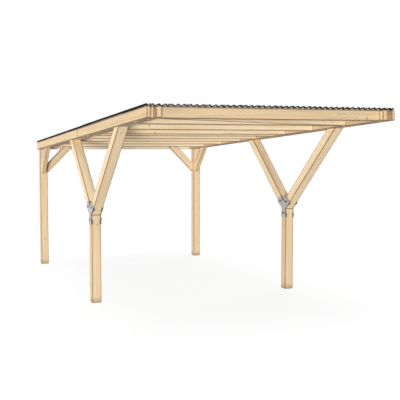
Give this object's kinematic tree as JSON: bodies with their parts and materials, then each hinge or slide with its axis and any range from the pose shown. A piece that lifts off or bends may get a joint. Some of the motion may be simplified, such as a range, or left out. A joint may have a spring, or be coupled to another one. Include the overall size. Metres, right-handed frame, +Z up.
{
  "type": "carport",
  "caption": "Open timber carport: branching front posts, knee-braced rear posts, doubled side beams, rafters and a corrugated sheet roof falling to the rear.",
  "frame": {"origin": "on the ground, under the middle of the roof's width and length", "axes": "+Y from the open front to the lower rear, +X to the right seen from the front, +Z up"},
  "size_m": [2.924, 6.293, 2.4535],
  "materials": {
    "timber": "planed softwood, oiled pale, satin",
    "steel": "galvanised, dull",
    "sheet": "off-white, semi-gloss"
  },
  "bodies": {
    "root": {"front_left_post": "timber", "front_right_post": "timber", "rear_left_post": "timber", "rear_right_post": "timber", "left_front_arm": "timber", "left_rear_arm": "timber", "right_front_arm": "timber", "right_rear_arm": "timber", "left_outer_plate": "steel", "left_inner_plate": "steel", "right_outer_plate": "steel", "right_inner_plate": "steel", "left_side_brace": "timber", "right_side_brace": "timber", "left_cross_brace": "timber", "right_cross_brace": "timber", "left_outer_board_front": "timber", "left_outer_board_rear": "timber", "right_outer_board_front": "timber", "right_outer_board_rear": "timber", "left_inner_beam_front": "timber", "left_inner_beam_rear": "timber", "right_inner_beam_front": "timber", "right_inner_beam_rear": "timber", "left_spacer_blocks": "timber", "right_spacer_blocks": "timber", "front_rafter": "timber", "rafter_2": "timber", "rafter_3": "timber", "rafter_4": "timber", "rafter_5": "timber", "rafter_6": "timber", "rafter_7": "timber", "rafter_8": "timber", "rafter_9": "timber", "rear_rafter": "timber", "wind_strap": "steel", "front_left_sheet": "sheet", "front_middle_sheet": "sheet", "front_right_sheet": "sheet", "rear_left_sheet": "sheet", "rear_middle_sheet": "sheet", "rear_right_sheet": "sheet"}
  },
  "joints": []
}
